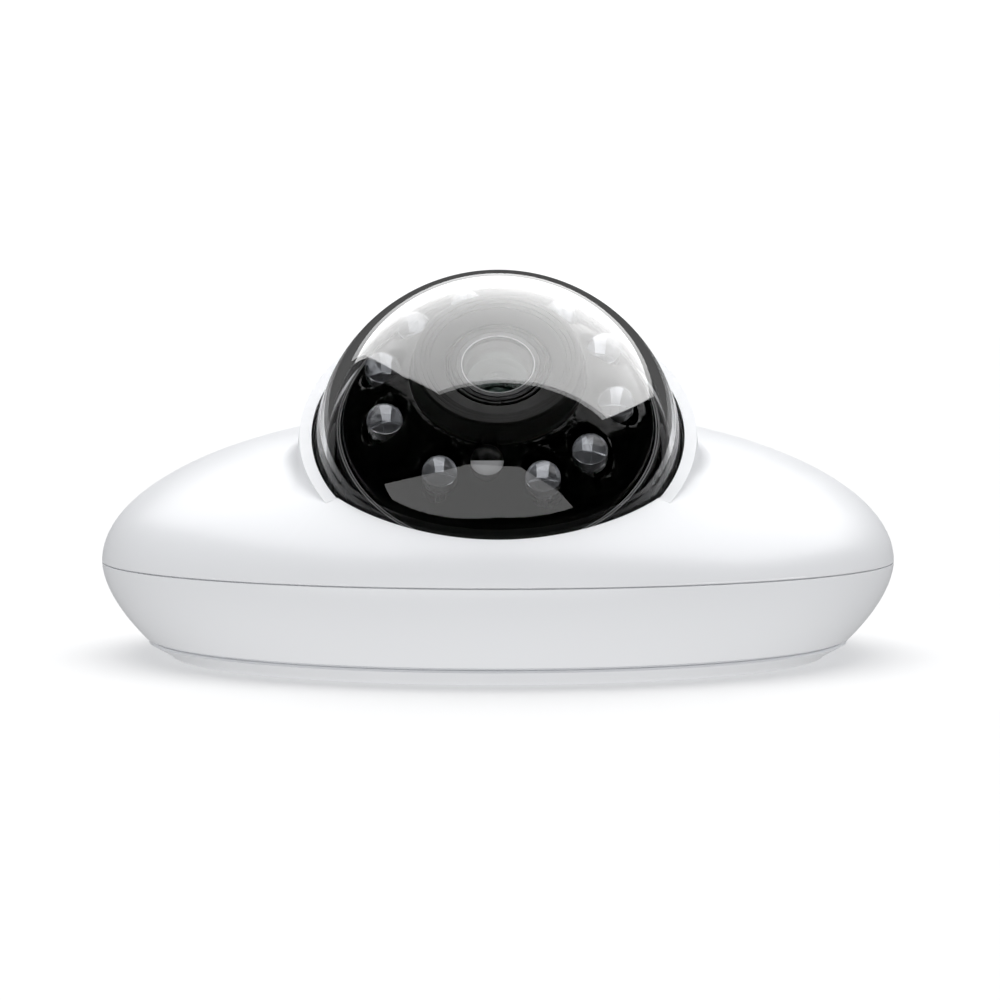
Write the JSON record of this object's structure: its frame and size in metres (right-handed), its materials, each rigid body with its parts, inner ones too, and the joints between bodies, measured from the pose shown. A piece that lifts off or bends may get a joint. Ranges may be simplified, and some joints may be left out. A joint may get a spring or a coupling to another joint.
{
  "type": "dome cctv camera",
  "caption": "Compact indoor infrared dome security camera: round white body, clear dome and a three-axis eyeball behind it.",
  "frame": {"origin": "centre of the mounting plate's back face, the face that lies on the wall or ceiling", "axes": "+Z away from the mounting surface, -Y towards the side where the clear dome sits, X across"},
  "size_m": [0.12, 0.12, 0.0578],
  "materials": {
    "white_shell": "smooth satin gloss",
    "white_plate": "satin",
    "clear_dome": "polished clear polycarbonate",
    "black_rubber": "matte",
    "black_plastic": "fine matte",
    "face_plastic": "satin black",
    "grey_plastic": "fine matte",
    "black_metal": "satin anodised",
    "steel_screw": "zinc plated",
    "bright_metal": "polished",
    "circuit_board": "solder mask",
    "chip_black": "moulded epoxy",
    "heat_aluminium": "extruded",
    "contact_gold": "plated",
    "connector_plastic": "moulded",
    "capacitor_sleeve": "shrink sleeve",
    "coil_copper": "enamelled winding",
    "led_lens": "clear epoxy",
    "sensor_lens": "clear epoxy",
    "lens_glass": "coated glass",
    "filter_glass": "coated glass",
    "silicon": "glazed sensor",
    "low_friction_plastic": "smooth"
  },
  "bodies": {
    "mount": {"mount_plate": "white_plate"},
    "housing": {"lower_shell": "white_shell", "upper_shell": "white_shell", "dome_bubble": "clear_dome", "bubble_seal": "black_rubber", "bubble_clamp": "black_plastic", "clamp_screws": "steel_screw", "shell_seal": "black_rubber", "shell_screws": "steel_screw", "turret_base": "black_plastic", "turret_screws": "steel_screw", "pan_screw": "steel_screw", "pan_washer": "low_friction_plastic", "main_board": "circuit_board", "board_screws": "steel_screw", "ethernet_jack": "bright_metal", "jack_contacts": "contact_gold", "processor": "chip_black", "heat_sink": "heat_aluminium", "memory_chips": "chip_black", "power_transformer": "chip_black", "power_capacitors": "capacitor_sleeve", "board_connector": "connector_plastic", "reset_switch": "bright_metal"},
    "reset_button": {"reset_plunger": "grey_plastic", "plunger_spring": "bright_metal"},
    "pan": {"pan_yoke": "grey_plastic"},
    "tilt": {"tilt_ring": "black_plastic", "tilt_pivots": "steel_screw"},
    "eyeball": {"eye_face": "face_plastic", "eye_rear_shell": "black_plastic", "led_board": "circuit_board", "ir_leds": "led_lens", "light_sensor": "sensor_lens", "light_shield": "black_rubber", "lens_holder": "black_plastic", "sensor_board": "circuit_board", "image_sensor": "silicon", "filter_coil": "coil_copper", "face_screws": "steel_screw"},
    "filter": {"ir_filter": "filter_glass"},
    "lens": {"lens_barrel": "black_metal", "lens_retainer": "bright_metal", "front_lens": "lens_glass", "rear_lens": "lens_glass", "lens_lock_ring": "bright_metal"}
  },
  "joints": [
    {"name": "mount_twist", "type": "hinge", "parent": "mount", "child": "housing", "pos_m": [0, 0, 0], "axis": [0, 0, 1], "range_deg": [0, 18]},
    {"name": "pan_turn", "type": "hinge", "parent": "housing", "child": "pan", "pos_m": [0, -0.0329, 0.0314], "axis": [0, 0, 1], "range_deg": [-90, 90]},
    {"name": "tilt_turn", "type": "hinge", "parent": "pan", "child": "tilt", "pos_m": [0, -0.0329, 0.0314], "axis": [-1, 0, 0], "range_deg": [-15, 50]},
    {"name": "face_turn", "type": "hinge", "parent": "tilt", "child": "eyeball", "pos_m": [0, -0.0329, 0.0314], "axis": [0, -0.766, 0.6428], "range_deg": [-90, 90]},
    {"name": "focus_turn", "type": "hinge", "parent": "eyeball", "child": "lens", "pos_m": [0, -0.0329, 0.0314], "axis": [0, -0.766, 0.6428], "range_deg": [-90, 90]},
    {"name": "filter_slide", "type": "slide", "parent": "eyeball", "child": "filter", "axis": [0.989, -0.095, -0.1132], "range_m": [0, 0.005]},
    {"name": "reset_press", "type": "slide", "parent": "housing", "child": "reset_button", "axis": [0, 0, 1], "range_m": [0, 0.0008], "stiffness_N_per_m": 400, "springref_m": -0.0004, "deforming": ["plunger_spring"]}
  ]
}
